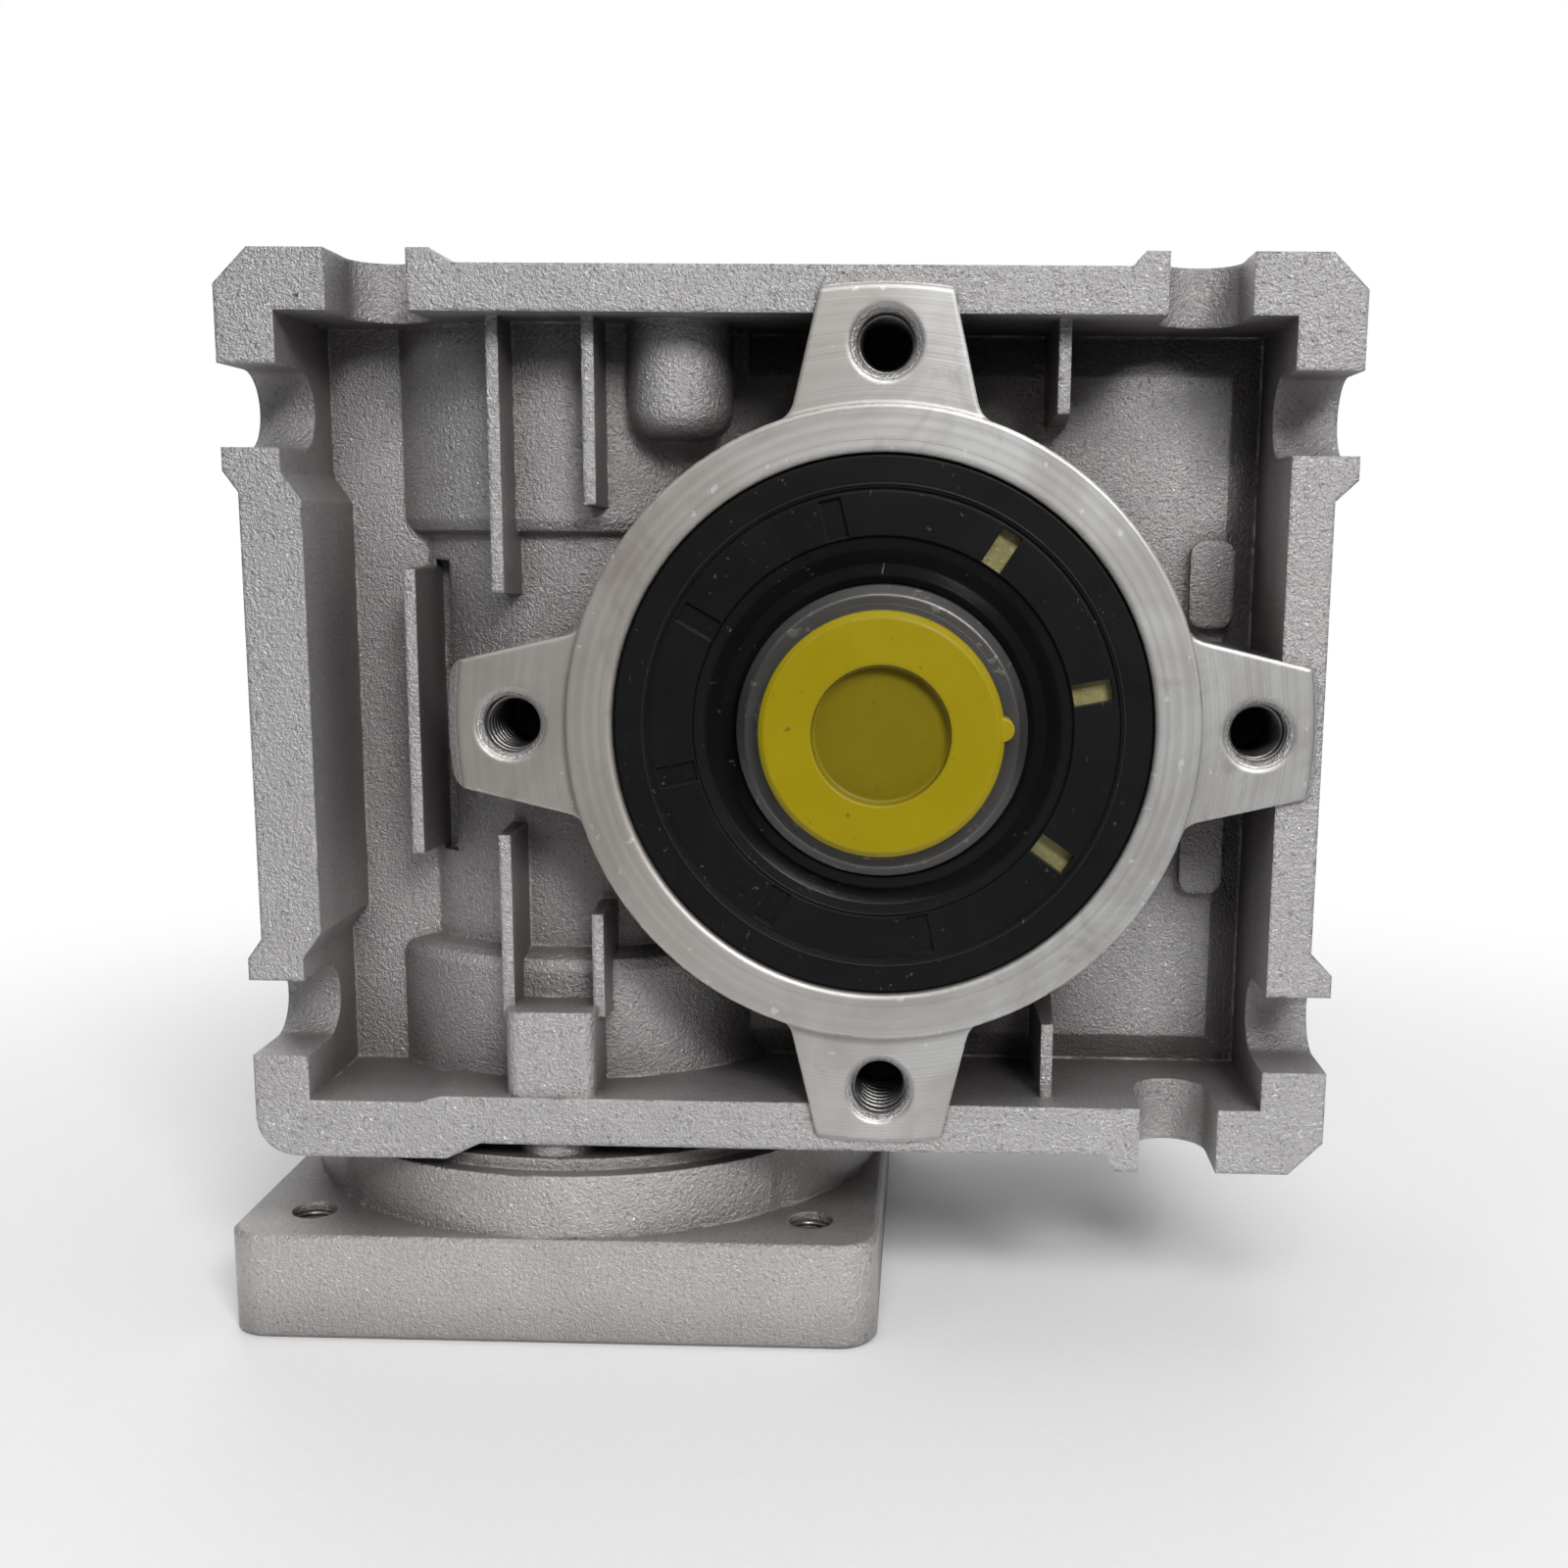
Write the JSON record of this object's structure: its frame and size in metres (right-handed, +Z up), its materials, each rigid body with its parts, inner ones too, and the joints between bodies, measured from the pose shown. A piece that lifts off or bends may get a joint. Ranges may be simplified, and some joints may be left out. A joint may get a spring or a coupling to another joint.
{
  "type": "right angle worm gearbox",
  "caption": "Right angle worm gearbox with a hollow keyed output shaft, lugs for output flanges, slotted feet and a square motor flange.",
  "frame": {"origin": "on the output axis, halfway through the case", "axes": "+Y along the output axis towards the side cover, +Z up along the worm axis away from the motor flange, +X from the worm towards the output"},
  "size_m": [0.1, 0.0655, 0.097],
  "materials": {
    "cast_aluminium": "sand-blasted casting",
    "flange_aluminium": "turned and sand-blasted",
    "bronze": "machined",
    "yellow_plastic": "moulded",
    "seal_rubber": "moulded",
    "cap_rubber": "moulded",
    "cage_steel": "pressed",
    "seal_metal": "plated",
    "screw_steel": "blackened",
    "spring_steel": "phosphated",
    "shaft_steel": "ground",
    "bearing_steel": "ground"
  },
  "bodies": {
    "case": {"housing": "cast_aluminium", "side_cover": "cast_aluminium", "cover_o_ring": "seal_rubber", "cover_screws": "screw_steel", "front_output_bearing_outer_ring": "bearing_steel", "back_output_bearing_outer_ring": "bearing_steel", "upper_worm_bearing_outer_ring": "bearing_steel", "lower_worm_bearing_outer_ring": "bearing_steel", "front_output_seal": "seal_rubber", "front_output_seal_case": "seal_metal", "front_output_seal_spring": "spring_steel", "back_output_seal": "seal_rubber", "back_output_seal_case": "seal_metal", "back_output_seal_spring": "spring_steel", "input_seal": "seal_rubber", "input_seal_case": "seal_metal", "input_seal_spring": "spring_steel", "upper_circlip": "spring_steel", "end_cap": "cap_rubber", "motor_flange": "flange_aluminium", "flange_o_ring": "seal_rubber", "flange_screws": "screw_steel"},
    "output": {"output_shaft": "shaft_steel", "worm_wheel_rim": "bronze", "front_output_bearing_inner_ring": "bearing_steel", "back_output_bearing_inner_ring": "bearing_steel"},
    "worm": {"worm_shaft": "shaft_steel", "upper_worm_bearing_inner_ring": "bearing_steel", "lower_worm_bearing_inner_ring": "bearing_steel"},
    "front_balls": {"front_output_bearing_balls": "bearing_steel", "front_output_bearing_cage": "cage_steel"},
    "back_balls": {"back_output_bearing_balls": "bearing_steel", "back_output_bearing_cage": "cage_steel"},
    "upper_balls": {"upper_worm_bearing_balls": "bearing_steel", "upper_worm_bearing_cage": "cage_steel"},
    "lower_balls": {"lower_worm_bearing_balls": "bearing_steel", "lower_worm_bearing_cage": "cage_steel"},
    "plug": {"shaft_plug": "yellow_plastic"}
  },
  "joints": [
    {"name": "output_spin", "type": "hinge", "parent": "case", "child": "output", "pos_m": [0, 0, 0], "axis": [0, 1, 0], "continuous": true},
    {"name": "worm_spin", "type": "hinge", "parent": "case", "child": "worm", "pos_m": [-0.03, 0, 0], "axis": [0, 0, 1], "continuous": true},
    {"name": "front_balls_spin", "type": "hinge", "parent": "case", "child": "front_balls", "pos_m": [0, 0, 0], "axis": [0, 1, 0], "continuous": true},
    {"name": "back_balls_spin", "type": "hinge", "parent": "case", "child": "back_balls", "pos_m": [0, 0, 0], "axis": [0, 1, 0], "continuous": true},
    {"name": "upper_balls_spin", "type": "hinge", "parent": "case", "child": "upper_balls", "pos_m": [-0.03, 0, 0], "axis": [0, 0, 1], "continuous": true},
    {"name": "lower_balls_spin", "type": "hinge", "parent": "case", "child": "lower_balls", "pos_m": [-0.03, 0, 0], "axis": [0, 0, 1], "continuous": true},
    {"name": "plug_pull", "type": "slide", "parent": "output", "child": "plug", "axis": [0, -1, 0], "range_m": [0, 0.025]}
  ],
  "couplings": [
    {"joint": "worm_spin", "follows": "output_spin", "ratio": -30},
    {"joint": "front_balls_spin", "follows": "output_spin", "ratio": 0.4118},
    {"joint": "back_balls_spin", "follows": "output_spin", "ratio": 0.4118},
    {"joint": "upper_balls_spin", "follows": "output_spin", "ratio": -11.43},
    {"joint": "lower_balls_spin", "follows": "output_spin", "ratio": -12.495}
  ]
}
